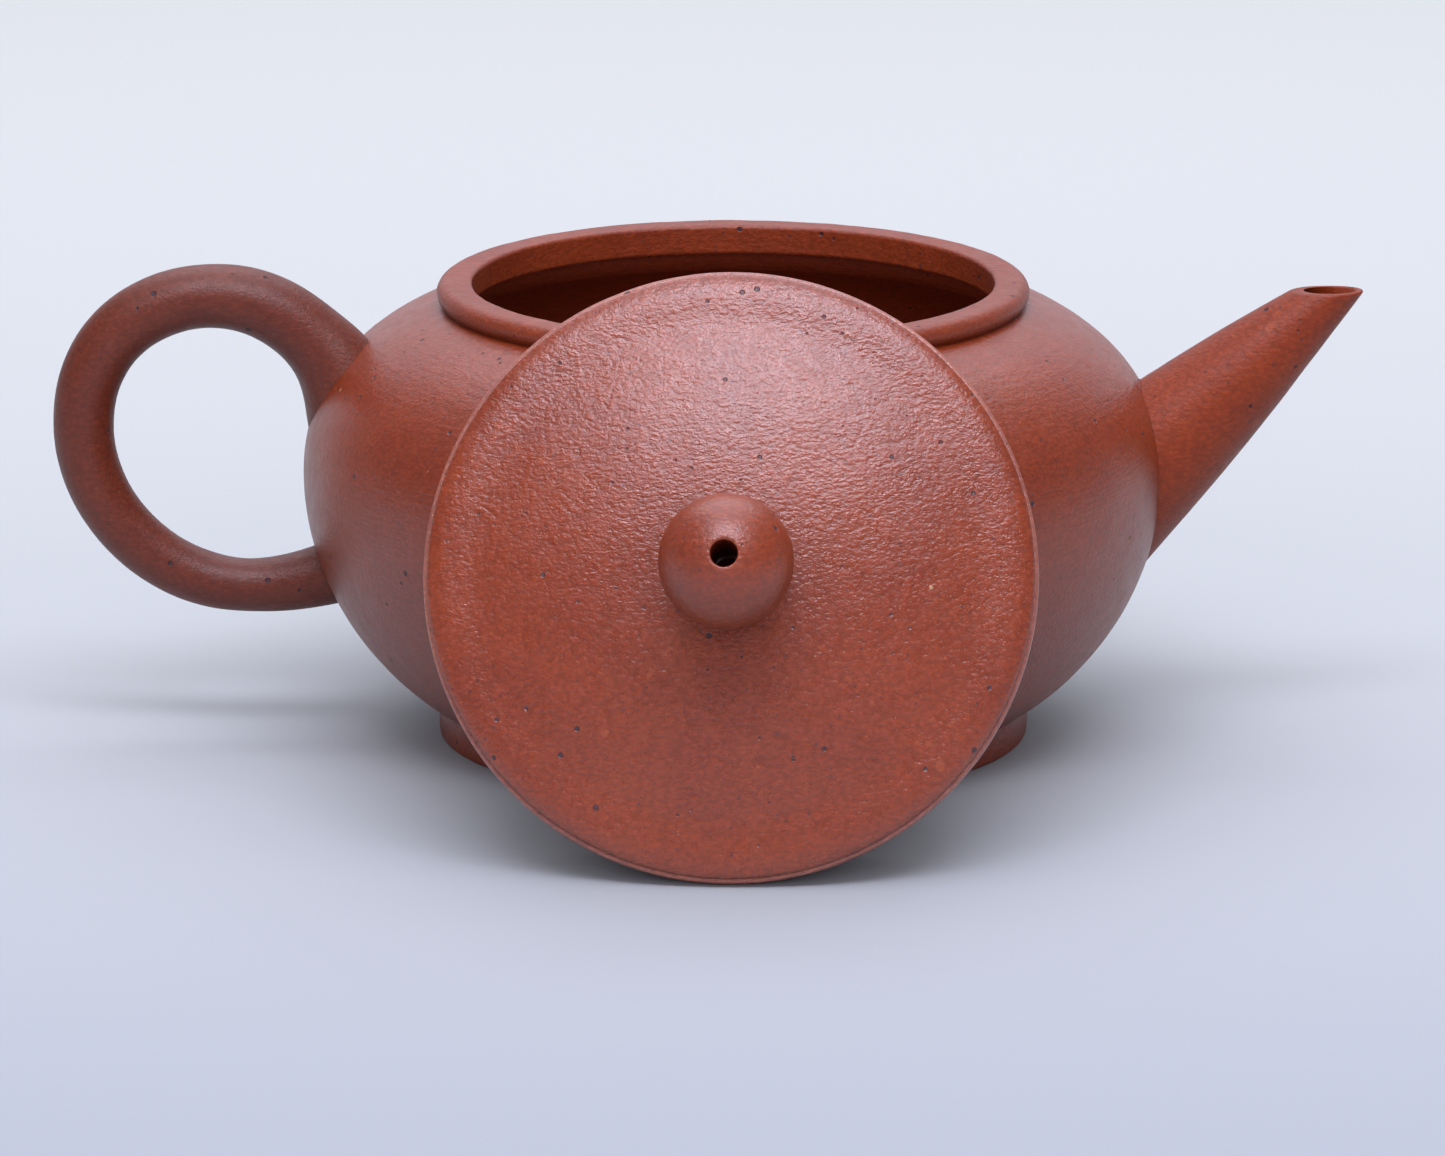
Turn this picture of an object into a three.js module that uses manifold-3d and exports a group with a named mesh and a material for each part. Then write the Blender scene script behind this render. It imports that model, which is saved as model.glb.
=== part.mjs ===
// A small Yixing clay teapot, with its lid taken off and stood on edge in front of it.
// Units are millimetres and +Z is up. The spout points to +X, the handle to -X, and the lid stands
// on the -Y side. The origin is on the table, at the middle of the box round the pot and its lid.
// Every piece is the separate piece of clay that the potter makes, and the pieces are drawn with a
// narrow gap where slip would lute them together.

import * as THREE from 'three';
import { mergeVertices } from 'three/addons/utils/BufferGeometryUtils.js';
import Module from 'manifold-3d';

const wasm = await Module();
wasm.setup();

// Making
const LUTE_GAP = 0.3; // gap between two pieces that are luted together
const ROUND_SEGMENTS = 48; // facets round each turned piece

// Belly: a round wall whose outline is two curves that meet upright at the widest level
const BELLY_RADIUS = 40.7;
const BELLY_LEVEL = 25.7; // height of the widest level
const UPPER_REACH = 8.9; // how far the outline stays upright above the widest level
const LOWER_REACH = 9.0; // and below it
const WALL = 2.7;

// Shoulder: the disc that closes the top of the belly
const SHOULDER_RADIUS = 28.0; // where the mouth ring's side meets it
const SHOULDER_LEVEL = 41.5;
const SHOULDER_SLOPE = 21; // degrees, at the mouth ring
const SHOULDER_REACH = 6.8;
const SHOULDER_SPLIT = 0.85; // share of the upper outline that is belly, the rest is shoulder
const SHOULDER_LIP = 1.05; // height of the disc's edge inside the mouth

// Base: the disc that closes the bottom, and the foot ring under it
const BASE_RADIUS = 26.5; // where the belly's outline ends
const BASE_LEVEL = 2.4;
const BASE_SLOPE = 27; // degrees
const BASE_REACH = 10.2;
const BASE_UNDERSIDE = 2.0;
const FOOT_RADIUS = 27.9;
const FOOT_BORE = 24.4;
const FOOT_EDGE = 0.5; // rounding of the foot's outer edge

// Mouth ring: the flat collar round the mouth, on which the lid rests
const MOUTH_RADIUS = 24.7;
const MOUTH_TOP = 43.8;
const MOUTH_RING_RADIUS = 28.0;
const MOUTH_RING_EDGE = 0.75; // rounding of its outer edge
const MOUTH_RISE = 0.55; // rise of the shoulder under the ring, from its side to the mouth

// Spout: a cone with slightly swelling sides, and the tapered channel through it. Both run down
// into the belly from a point above the spout's mouth, at an angle in degrees above level. The radius
// grows by the taper from its value at that point, and swells most in the middle.
const SPOUT = { x: 65.8, z: 50.8, angle: 42.2, radius: -0.66, taper: 0.186, swell: 0.82 };
const CHANNEL = { x: 65.7, z: 50.6, angle: 41.5, radius: -0.18, taper: 0.15, swell: 0 };
const SPOUT_TOP = 5; // from the point to above the mouth, where the solids start
const SPOUT_LENGTH = 45; // from the point to inside the belly
const SPOUT_MOUTH_LEVEL = 42.8;
const SPOUT_STEPS = 8; // rings along it

// Strainer: a pierced half ball over the spout's opening in the wall
const STRAINER_RADIUS = 7.5;
const STRAINER_WALL = 1.4;
const STRAINER_HOLE = 0.95;
const STRAINER_ROWS = [
  { holes: 1, angle: 0 },
  { holes: 6, angle: 27 },
  { holes: 11, angle: 53 },
];

// Handle: a round loop of clay, wider at its roots. Each station has a place, the radius there,
// the direction that the loop runs in, and how far it holds that direction on either side.
const HANDLE_STATIONS = [
  { x: -34.6, z: 29.0, radius: 5.3, heading: 132, before: 0, after: 2.4 },
  { x: -39.7, z: 38.1, radius: 3.35, heading: 136, before: 5.5, after: 1.0 },
  { x: -49.1, z: 42.2, radius: 3.03, heading: 180, before: 5.4, after: 6.5 },
  { x: -61.5, z: 29.8, radius: 2.88, heading: 270, before: 7.9, after: 7.9 },
  { x: -45.5, z: 14.15, radius: 2.46, heading: 360, before: 9.2, after: 4.5 },
  { x: -34.6, z: 16.3, radius: 3.2, heading: 373, before: 3.8, after: 0 },
];
const HANDLE_STEPS = 8; // rings between two stations
const HANDLE_SIDES = 20;
const HANDLE_DEPTH = 1.06; // depth of its section over its thickness

// Lid: a domed disc on a flat ring, with a collar that enters the mouth. Heights are above the seat.
const LID_RADIUS = 28.1;
const SEAT_RING_HEIGHT = 1.5;
const SEAT_RING_EDGE = 0.5;
const COLLAR_RADIUS = 24.2;
const COLLAR_WALL = 2.3;
const COLLAR_DEPTH = 9.5;
const COLLAR_EDGE = 0.4;
const BRIM_EDGE = { radius: 27.85, level: 2.3, slope: 40 }; // outer end of the lid's flatter brim
const BRIM_FOOT = { radius: 23.2, level: 3.5, slope: 8 }; // where the dome rises from the brim
const BRIM_EDGE_REACH = 1.3;
const BRIM_FOOT_REACH = 1.8;
const DOME_SLOPE = 17;
const DOME_FOOT_REACH = 7.0;
const DOME_TOP_REACH = 9.0;
const DOME_RISE = 7.2;
const DOME_WALL = 2.4;
const DOME_LAND = 3.4; // width of the dome's edge that is luted to the flat ring

// Knob: a ball on a short neck, pierced by the air hole
const KNOB_RADIUS = 6.15;
const KNOB_CENTRE = 13.3; // above the seat
const NECK_RADIUS = 3.7;
const AIR_HOLE_RADIUS = 1.25;
const AIR_HOLE_EDGE = 0.35;

// How the lid stands: on its rim, leaning back until the end of its collar is against the belly
const LID_LEAN = 20.3; // degrees back from upright
const LID_TURN = -2.2; // degrees about the vertical
const LID_FOOT_X = -0.2;
const LID_FOOT_Y = -57.7; // where its rim stands, from the pot's axis

const { degToRad } = THREE.MathUtils;
const v2 = (x, y) => new THREE.Vector2(x, y);

// ---- Outlines, as points of radius and height ----

// The point at a distance from an end, along a slope in degrees
function along(end, slope, distance) {
  const angle = degToRad(slope);
  return v2(end.x + distance * Math.cos(angle), end.y + distance * Math.sin(angle));
}

// The belly's outline above its widest level, ending at the mouth ring
function upperOutline() {
  const end = v2(SHOULDER_RADIUS, SHOULDER_LEVEL);
  return new THREE.CubicBezierCurve(
    v2(BELLY_RADIUS, BELLY_LEVEL),
    v2(BELLY_RADIUS, BELLY_LEVEL + UPPER_REACH),
    along(end, -SHOULDER_SLOPE, SHOULDER_REACH),
    end,
  );
}

// The belly's outline below its widest level, from the base upwards
function lowerOutline() {
  const end = v2(BASE_RADIUS, BASE_LEVEL);
  return new THREE.CubicBezierCurve(
    end,
    along(end, BASE_SLOPE, BASE_REACH),
    v2(BELLY_RADIUS, BELLY_LEVEL - LOWER_REACH),
    v2(BELLY_RADIUS, BELLY_LEVEL),
  );
}

// Points on a curve between two shares of its length
function stretch(curve, from, to, count) {
  const points = [];
  for (let i = 0; i <= count; i += 1) {
    points.push(curve.getPointAt(from + ((to - from) * i) / count));
  }
  return points;
}

// The outline moved sideways: a positive distance is to the left of its direction
function offset(points, distance) {
  return points.map((point, i) => {
    const before = points[Math.max(i - 1, 0)];
    const after = points[Math.min(i + 1, points.length - 1)];
    const direction = after.clone().sub(before).normalize();
    return v2(point.x - direction.y * distance, point.y + direction.x * distance);
  });
}

// Points on an arc, with angles in degrees
function arc(x, y, radius, from, to, count) {
  const points = [];
  for (let i = 0; i <= count; i += 1) {
    const angle = degToRad(from + ((to - from) * i) / count);
    points.push(v2(x + radius * Math.cos(angle), y + radius * Math.sin(angle)));
  }
  return points;
}

// ---- Solids ----

// A piece turned about the Z axis. The outline runs anticlockwise, and either closes on itself
// or starts and ends on the axis.
function turned(points, closed = true, segments = ROUND_SEGMENTS) {
  const outline = closed ? [...points, points[0].clone()] : points;
  const geometry = new THREE.LatheGeometry(outline, segments);
  geometry.rotateX(Math.PI / 2);
  return geometry;
}

function toManifold(geometry) {
  const bare = geometry.clone();
  bare.deleteAttribute('normal');
  bare.deleteAttribute('uv');
  const merged = mergeVertices(bare, 1e-4);
  const triVerts = [];
  const index = merged.index.array;
  for (let i = 0; i < index.length; i += 3) {
    const [a, b, c] = [index[i], index[i + 1], index[i + 2]];
    if (a !== b && b !== c && c !== a) {
      triVerts.push(a, b, c);
    }
  }
  return new wasm.Manifold(
    new wasm.Mesh({
      numProp: 3,
      vertProperties: Float32Array.from(merged.attributes.position.array),
      triVerts: Uint32Array.from(triVerts),
    }),
  );
}

function toGeometry(manifold) {
  const mesh = manifold.getMesh();
  const geometry = new THREE.BufferGeometry();
  geometry.setAttribute('position', new THREE.BufferAttribute(mesh.vertProperties, 3));
  geometry.setIndex(new THREE.BufferAttribute(mesh.triVerts, 1));
  geometry.computeVertexNormals();
  return geometry;
}

// What the belly, shoulder and base fill, grown by a margin and closed across the mouth
function bodyBlank(margin) {
  const outline = [
    ...stretch(lowerOutline(), 0, 1, 12),
    ...stretch(upperOutline(), 0, 1, 12).slice(1),
  ];
  return toManifold(
    turned(
      [
        v2(0, BASE_UNDERSIDE - margin),
        v2(BASE_RADIUS - 1, BASE_UNDERSIDE - margin),
        ...offset(outline, -margin),
        v2(MOUTH_RADIUS - 1, SHOULDER_LEVEL + MOUTH_RISE + margin),
        v2(0, SHOULDER_LEVEL + MOUTH_RISE + margin),
      ],
      false,
    ),
  );
}

// The hollow inside the belly's wall, shrunk by a margin
function hollowBlank(margin) {
  const outline = [
    ...stretch(lowerOutline(), 0.1, 1, 12),
    ...stretch(upperOutline(), 0, 0.85, 12).slice(1),
  ];
  const inner = offset(outline, WALL + margin);
  return toManifold(
    turned([v2(0, inner[0].y), ...inner, v2(0, inner[inner.length - 1].y)], false),
  );
}

// ---- Pot ----

function bellyWall() {
  const outer = [
    ...stretch(lowerOutline(), 0, 1, 8),
    ...stretch(upperOutline(), 0, SHOULDER_SPLIT, 6).slice(1),
  ];
  const wall = toManifold(turned([...outer, ...offset(outer, WALL).reverse()]));
  const opening = toManifold(spoutCone(CHANNEL, SPOUT_LENGTH + 1));
  return toGeometry(wall.subtract(opening));
}

function shoulderDisc() {
  const gapShare = LUTE_GAP / upperOutline().getLength();
  const outer = stretch(upperOutline(), SHOULDER_SPLIT + gapShare, 1, 3);
  const underside = offset(outer, WALL).reverse();
  const mouthEdge = SHOULDER_LEVEL + MOUTH_RISE;
  return turned([
    ...outer,
    v2(MOUTH_RADIUS, mouthEdge),
    v2(MOUTH_RADIUS, mouthEdge - SHOULDER_LIP),
    ...underside.slice(1),
  ]);
}

function baseDisc() {
  const edge = along(v2(BASE_RADIUS, BASE_LEVEL), BASE_SLOPE + 90, WALL);
  return turned(
    [
      v2(0, BASE_UNDERSIDE),
      v2(BASE_RADIUS - LUTE_GAP - 0.1, BASE_UNDERSIDE),
      v2(edge.x - LUTE_GAP - 0.1, edge.y),
      v2(0, edge.y),
    ],
    false,
  );
}

function footRing() {
  const blank = turned([
    v2(FOOT_BORE, 0),
    ...arc(FOOT_RADIUS - FOOT_EDGE, FOOT_EDGE, FOOT_EDGE, -90, 0, 3),
    v2(FOOT_RADIUS, BASE_LEVEL + 2),
    v2(FOOT_BORE, BASE_LEVEL + 2),
  ]);
  return toGeometry(toManifold(blank).subtract(bodyBlank(LUTE_GAP)));
}

function mouthRing() {
  return turned([
    v2(MOUTH_RADIUS, SHOULDER_LEVEL + MOUTH_RISE + LUTE_GAP),
    v2(MOUTH_RING_RADIUS, SHOULDER_LEVEL + LUTE_GAP),
    ...arc(
      MOUTH_RING_RADIUS - MOUTH_RING_EDGE,
      MOUTH_TOP - MOUTH_RING_EDGE,
      MOUTH_RING_EDGE,
      0,
      90,
      4,
    ),
    v2(MOUTH_RADIUS, MOUTH_TOP),
  ]);
}

// A solid round the axis of the spout or of its channel, down to a distance from its upper point
function spoutCone(cone, length) {
  const radiusAt = (distance) => {
    const share = distance / SPOUT_LENGTH;
    return cone.radius + cone.taper * distance + cone.swell * 4 * share * (1 - share);
  };
  const side = [];
  for (let i = 0; i <= SPOUT_STEPS; i += 1) {
    const distance = THREE.MathUtils.lerp(length, SPOUT_TOP, i / SPOUT_STEPS);
    side.push(v2(radiusAt(distance), -distance));
  }
  const solid = turned([v2(0, -length), ...side, v2(0, -SPOUT_TOP)], false, 32);
  solid.rotateY(degToRad(90 - cone.angle));
  solid.translate(cone.x, 0, cone.z);
  return solid;
}

function spout() {
  const aboveMouth = new THREE.BoxGeometry(40, 40, 20);
  aboveMouth.translate(SPOUT.x, 0, SPOUT_MOUTH_LEVEL + 10);
  const cone = toManifold(spoutCone(SPOUT, SPOUT_LENGTH));
  const channel = toManifold(spoutCone(CHANNEL, SPOUT_LENGTH + 1));
  return toGeometry(
    cone.subtract(bodyBlank(LUTE_GAP)).subtract(toManifold(aboveMouth)).subtract(channel),
  );
}

// Where the channel's axis meets the inside of the wall
function strainerCentre() {
  const angle = degToRad(CHANNEL.angle);
  const x = BELLY_RADIUS - WALL;
  const distance = (CHANNEL.x - x) / Math.cos(angle);
  return new THREE.Vector3(x, 0, CHANNEL.z - distance * Math.sin(angle));
}

function strainer() {
  const centre = strainerCentre();
  const ball = new THREE.SphereGeometry(STRAINER_RADIUS, 24, 14);
  const inside = new THREE.SphereGeometry(STRAINER_RADIUS - STRAINER_WALL, 24, 14);
  let shell = toManifold(ball).subtract(toManifold(inside));
  for (const row of STRAINER_ROWS) {
    for (let i = 0; i < row.holes; i += 1) {
      const hole = new THREE.CylinderGeometry(STRAINER_HOLE, STRAINER_HOLE, 6, 8);
      hole.translate(0, STRAINER_RADIUS, 0);
      hole.rotateX(degToRad(row.angle));
      hole.rotateY((2 * Math.PI * i) / row.holes);
      hole.rotateZ(Math.PI / 2);
      shell = shell.subtract(toManifold(hole));
    }
  }
  const placed = shell.translate([centre.x, centre.y, centre.z]);
  return toGeometry(placed.intersect(hollowBlank(LUTE_GAP)));
}

// The handle's centre line, as one curve for each pair of stations
function handleCurves() {
  const point = (station, reach) => {
    const angle = degToRad(station.heading);
    return new THREE.Vector3(
      station.x + reach * Math.cos(angle),
      0,
      station.z + reach * Math.sin(angle),
    );
  };
  return HANDLE_STATIONS.slice(1).map((next, i) => {
    const last = HANDLE_STATIONS[i];
    return new THREE.CubicBezierCurve3(
      point(last, 0),
      point(last, last.after),
      point(next, -next.before),
      point(next, 0),
    );
  });
}

// One ring of the handle's section, square to the centre line
function handleRing(centre, tangent, radius) {
  const outwards = new THREE.Vector3(-tangent.z, 0, tangent.x);
  const ring = [];
  for (let i = 0; i < HANDLE_SIDES; i += 1) {
    const angle = (2 * Math.PI * i) / HANDLE_SIDES;
    const across = outwards.clone().multiplyScalar(radius * Math.cos(angle));
    across.y = -radius * HANDLE_DEPTH * Math.sin(angle);
    ring.push(centre.clone().add(across));
  }
  return ring;
}

// A closed solid through a row of rings that have the same number of points
function lofted(rings) {
  const sides = rings[0].length;
  const positions = rings.flat().flatMap((p) => [p.x, p.y, p.z]);
  const index = [];
  for (let k = 0; k + 1 < rings.length; k += 1) {
    for (let i = 0; i < sides; i += 1) {
      const a = k * sides + i;
      const b = k * sides + ((i + 1) % sides);
      index.push(a, b, b + sides, a, b + sides, a + sides);
    }
  }
  const last = (rings.length - 1) * sides;
  for (let i = 1; i + 1 < sides; i += 1) {
    index.push(0, i + 1, i);
    index.push(last, last + i, last + i + 1);
  }
  const geometry = new THREE.BufferGeometry();
  geometry.setAttribute('position', new THREE.Float32BufferAttribute(positions, 3));
  geometry.setIndex(index);
  return geometry;
}

function handle() {
  const rings = [];
  handleCurves().forEach((curve, k) => {
    const [last, next] = [HANDLE_STATIONS[k], HANDLE_STATIONS[k + 1]];
    for (let i = k === 0 ? 0 : 1; i <= HANDLE_STEPS; i += 1) {
      const t = i / HANDLE_STEPS;
      const radius = THREE.MathUtils.lerp(last.radius, next.radius, t);
      rings.push(handleRing(curve.getPoint(t), curve.getTangent(t), radius));
    }
  });
  return toGeometry(toManifold(lofted(rings)).subtract(bodyBlank(LUTE_GAP)));
}

// ---- Lid, drawn upright about its own axis with its seat at height 0 ----

function lidSeatRing() {
  const bore = COLLAR_RADIUS - COLLAR_WALL;
  const edge = LID_RADIUS - SEAT_RING_EDGE;
  return turned([
    v2(bore, 0),
    ...arc(edge, SEAT_RING_EDGE, SEAT_RING_EDGE, -90, 0, 3),
    v2(LID_RADIUS, SEAT_RING_HEIGHT),
    v2(bore, SEAT_RING_HEIGHT),
  ]);
}

function lidCollar() {
  const outerEdge = COLLAR_RADIUS - COLLAR_EDGE;
  return turned([
    v2(COLLAR_RADIUS - COLLAR_WALL, -COLLAR_DEPTH),
    ...arc(outerEdge, COLLAR_EDGE - COLLAR_DEPTH, COLLAR_EDGE, -90, 0, 3),
    v2(COLLAR_RADIUS, -LUTE_GAP),
    v2(COLLAR_RADIUS - COLLAR_WALL, -LUTE_GAP),
  ]);
}

function lidDome() {
  const edge = v2(BRIM_EDGE.radius, BRIM_EDGE.level);
  const foot = v2(BRIM_FOOT.radius, BRIM_FOOT.level);
  const top = v2(AIR_HOLE_RADIUS, DOME_RISE);
  const brim = new THREE.CubicBezierCurve(
    edge,
    along(edge, 180 - BRIM_EDGE.slope, BRIM_EDGE_REACH),
    along(foot, -BRIM_FOOT.slope, BRIM_FOOT_REACH),
    foot,
  );
  const dome = new THREE.CubicBezierCurve(
    foot,
    along(foot, 180 - DOME_SLOPE, DOME_FOOT_REACH),
    v2(top.x + DOME_TOP_REACH, top.y),
    top,
  );
  const underside = SEAT_RING_HEIGHT + LUTE_GAP;
  const outer = [...stretch(brim, 0, 1, 4), ...stretch(dome, 0, 1, 8).slice(1)];
  const inner = offset(outer, DOME_WALL).filter(
    (point) => point.x < LID_RADIUS - DOME_LAND && point.y > underside,
  );
  return turned([
    v2(LID_RADIUS, underside),
    ...outer,
    ...inner.reverse(),
    v2(LID_RADIUS - DOME_LAND, underside),
  ]);
}

function knob() {
  const { asin, acos, sqrt } = Math;
  const { radToDeg } = THREE.MathUtils;
  const neckTop = KNOB_CENTRE - sqrt(KNOB_RADIUS ** 2 - NECK_RADIUS ** 2);
  const neckFoot = DOME_RISE + LUTE_GAP;
  const lowest = radToDeg(asin((neckTop - KNOB_CENTRE) / KNOB_RADIUS));
  const highest = radToDeg(acos((AIR_HOLE_RADIUS + AIR_HOLE_EDGE) / KNOB_RADIUS));
  const ball = arc(0, KNOB_CENTRE, KNOB_RADIUS, lowest, highest, 12);
  return turned([
    v2(AIR_HOLE_RADIUS, neckFoot),
    v2(NECK_RADIUS, neckFoot),
    ...ball,
    v2(AIR_HOLE_RADIUS, ball[ball.length - 1].y - AIR_HOLE_EDGE),
  ]);
}

// ---- Assembly ----

const POT_CLAY = { color: 0x93452c, roughness: 0.55, metalness: 0 };
const LID_CLAY = { color: 0x984a30, roughness: 0.5, metalness: 0 };
const INNER_CLAY = { color: 0x7a3524, roughness: 0.75, metalness: 0 };

function piece(name, geometry, clay) {
  const mesh = new THREE.Mesh(geometry, new THREE.MeshStandardMaterial(clay));
  mesh.name = name;
  return mesh;
}

function makePot() {
  const pot = new THREE.Group();
  pot.add(piece('belly_wall', bellyWall(), POT_CLAY));
  pot.add(piece('shoulder_disc', shoulderDisc(), POT_CLAY));
  pot.add(piece('base_disc', baseDisc(), INNER_CLAY));
  pot.add(piece('foot_ring', footRing(), POT_CLAY));
  pot.add(piece('mouth_ring', mouthRing(), POT_CLAY));
  pot.add(piece('spout', spout(), POT_CLAY));
  pot.add(piece('strainer', strainer(), INNER_CLAY));
  pot.add(piece('handle', handle(), POT_CLAY));
  return pot;
}

function makeLid() {
  const lid = new THREE.Group();
  lid.add(piece('lid_dome', lidDome(), LID_CLAY));
  lid.add(piece('lid_seat_ring', lidSeatRing(), LID_CLAY));
  lid.add(piece('lid_collar', lidCollar(), LID_CLAY));
  lid.add(piece('knob', knob(), LID_CLAY));
  return lid;
}

// The lid stood on its rim: its axis leans up from level, and its lowest points are at height 0
function standLid(lid) {
  const lean = degToRad(LID_LEAN);
  lid.rotation.set(Math.PI / 2 - lean, 0, degToRad(LID_TURN), 'ZYX');
  lid.position.set(LID_FOOT_X, LID_FOOT_Y + LID_RADIUS * Math.sin(lean), 0);
  lid.position.z = -new THREE.Box3().setFromObject(lid, true).min.z;
  return lid;
}

const teapot = new THREE.Group();
teapot.add(makePot());
teapot.add(standLid(makeLid()));

const box = new THREE.Box3().setFromObject(teapot, true);
teapot.position.set(-(box.min.x + box.max.x) / 2, -(box.min.y + box.max.y) / 2, -box.min.z);
teapot.updateMatrixWorld(true);

export default teapot;
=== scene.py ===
"""Looks for a small Yixing clay teapot whose lid stands on edge in front of it.

Shapes are worked out in millimetres, about the pot's axis or the lid's own axis, and placed in the
frame in metres. Outlines are rows of (radius, height), run so that the clay is on their left.
"""

import math

import bpy
import numpy as np
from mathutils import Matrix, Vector


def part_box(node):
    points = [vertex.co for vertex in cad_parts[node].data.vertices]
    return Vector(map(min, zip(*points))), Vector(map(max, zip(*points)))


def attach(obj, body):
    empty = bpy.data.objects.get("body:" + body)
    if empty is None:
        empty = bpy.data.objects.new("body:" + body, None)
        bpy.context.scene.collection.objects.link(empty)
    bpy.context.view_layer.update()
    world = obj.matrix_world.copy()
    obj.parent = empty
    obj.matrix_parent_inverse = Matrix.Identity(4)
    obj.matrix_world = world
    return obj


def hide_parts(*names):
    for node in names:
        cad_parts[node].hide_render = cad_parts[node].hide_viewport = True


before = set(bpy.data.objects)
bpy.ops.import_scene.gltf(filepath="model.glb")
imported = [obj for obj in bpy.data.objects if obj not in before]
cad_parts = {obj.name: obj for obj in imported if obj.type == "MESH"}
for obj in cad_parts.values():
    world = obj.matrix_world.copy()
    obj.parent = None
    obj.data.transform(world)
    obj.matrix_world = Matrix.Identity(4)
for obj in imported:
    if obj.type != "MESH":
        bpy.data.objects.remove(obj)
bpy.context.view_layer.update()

MM = 0.001

# Body outline, as in the CAD source
BELLY_RADIUS, BELLY_LEVEL = 40.7, 25.7
UPPER_REACH, LOWER_REACH = 8.9, 9.0
WALL = 2.7
SHOULDER_RADIUS, SHOULDER_LEVEL = 28.0, 41.5
SHOULDER_SLOPE, SHOULDER_REACH = 21, 6.8
BASE_RADIUS, BASE_LEVEL = 26.5, 2.4
BASE_SLOPE, BASE_REACH = 27, 10.2
BASE_UNDERSIDE = 2.0
FOOT_RADIUS, FOOT_BORE, FOOT_EDGE, FOOT_SWELL = 27.9, 24.4, 0.5, 0.12

# Mouth ring
MOUTH_RADIUS, MOUTH_TOP = 24.7, 43.8
RING_ROLL, RING_ROLL_CENTRE, RING_ROLL_START = 1.05, (26.92, 42.75), -62  # its rounded side
RING_GROOVE = 27.35  # radius of the groove between its side and the shoulder
RING_INNER_EDGE = 0.35
RING_DEPTH = 0.5  # how far it reaches into the shoulder
BODY_SETBACK = 0.6  # how far the body's edge stays back from the mouth

# Spout and its channel: a point above the mouth, the climb in degrees, and the radius from there on
SPOUT = {"point": (65.8, 0, 50.8), "angle": 42.2, "radius": -0.66, "taper": 0.186, "swell": 0.82}
CHANNEL = {"point": (65.7, 0, 50.6), "angle": 41.5, "radius": -0.18, "taper": 0.15, "swell": 0}
SPOUT_TOP, SPOUT_LENGTH, CHANNEL_END = 5.0, 45.0, 38.0
SPOUT_MOUTH_LEVEL = 42.8
SPOUT_LIP, SPOUT_LIP_INNER = 0.38, 0.22
SPOUT_SIDES = 128

# Strainer
STRAINER_RADIUS, STRAINER_WALL, STRAINER_HOLE = 7.5, 1.4, 0.95
STRAINER_ROWS = ((1, 0), (6, 27), (11, 53))  # holes in a ring, and its angle from the tip
STRAINER_SIDES, DRILL_SIDES = 128, 32

# Handle stations: x, z, radius, heading in degrees, reach before, reach after
HANDLE_STATIONS = (
    (-34.6, 29.0, 5.3, 132, 0, 2.4),
    (-39.7, 38.1, 3.35, 136, 5.5, 1.0),
    (-49.1, 42.2, 3.03, 180, 5.4, 6.5),
    (-61.5, 29.8, 2.88, 270, 7.9, 7.9),
    (-45.5, 14.15, 2.46, 360, 9.2, 4.5),
    (-34.6, 16.3, 3.2, 373, 3.8, 0),
)
HANDLE_DEPTH = 1.06
HANDLE_SIDES, HANDLE_STEP = 96, 0.5
HANDLE_SMOOTHING = 2.5  # length over which its radius is evened out

# Lid, above its seat
LID_RADIUS, LID_STEP = 28.1, 0.3
SEAT_RING_HEIGHT, SEAT_RING_EDGE = 1.5, 0.32
COLLAR_RADIUS, COLLAR_WALL, COLLAR_DEPTH, COLLAR_EDGE = 24.2, 2.3, 9.5, 0.5
BRIM_EDGE, BRIM_EDGE_SLOPE, BRIM_EDGE_REACH = (27.72, 2.2), 48, 1.1
BRIM_FOOT, BRIM_FOOT_SLOPE, BRIM_FOOT_REACH = (23.2, 3.5), 8, 1.8
DOME_SLOPE, DOME_FOOT_REACH, DOME_TOP_REACH = 17, 7.0, 9.0
DOME_RISE, DOME_WALL, DOME_LAND = 7.2, 2.4, 3.4
KNOB_RADIUS, KNOB_CENTRE = 6.15, 13.3
NECK_RADIUS, NECK_FLARE = 3.7, 0.8
AIR_HOLE_RADIUS, AIR_HOLE_EDGE = 1.25, 0.3

# Fineness of the meshes
ROUND_SEGMENTS = 512
FINE_STEP, COARSE_STEP = 0.42, 1.2


# ---- Outlines ----


def slide(point, slope, distance):
    """The point at a distance along a slope in degrees."""
    a = math.radians(slope)
    return (point[0] + distance * math.cos(a), point[1] + distance * math.sin(a))


def even(points, step):
    """The row of points, spaced evenly with about this step, with both ends kept."""
    points = np.asarray(points, float)
    length = np.r_[0, np.cumsum(np.linalg.norm(np.diff(points, axis=0), axis=1))]
    count = max(2, int(round(length[-1] / step)) + 1)
    at = np.linspace(0, length[-1], count)
    return np.stack([np.interp(at, length, column) for column in points.T], axis=1)


def bezier(a, b, c, d, step=FINE_STEP):
    t = np.linspace(0, 1, 400)[:, None]
    a, b, c, d = (np.asarray(p, float) for p in (a, b, c, d))
    curve = (1 - t) ** 3 * a + 3 * t * (1 - t) ** 2 * b + 3 * t**2 * (1 - t) * c + t**3 * d
    return even(curve, step)


def line(*points, step=FINE_STEP):
    return even(points, step)


def arc(centre, radius, start, end, count=8):
    a = np.radians(np.linspace(start, end, count))
    return np.stack([centre[0] + radius * np.cos(a), centre[1] + radius * np.sin(a)], 1)


def chain(*rows):
    """Rows joined end to end, without repeated points."""
    joined = np.concatenate([np.asarray(r, float).reshape(-1, 2) for r in rows])
    apart = np.linalg.norm(np.diff(joined, axis=0), axis=1) > 1e-4
    return joined[np.r_[True, apart]]


def offset(points, distance):
    """The row moved sideways, to the left of its direction."""
    direction = np.gradient(points, axis=0)
    direction /= np.linalg.norm(direction, axis=1)[:, None]
    return points + distance * np.stack([-direction[:, 1], direction[:, 0]], 1)


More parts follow.
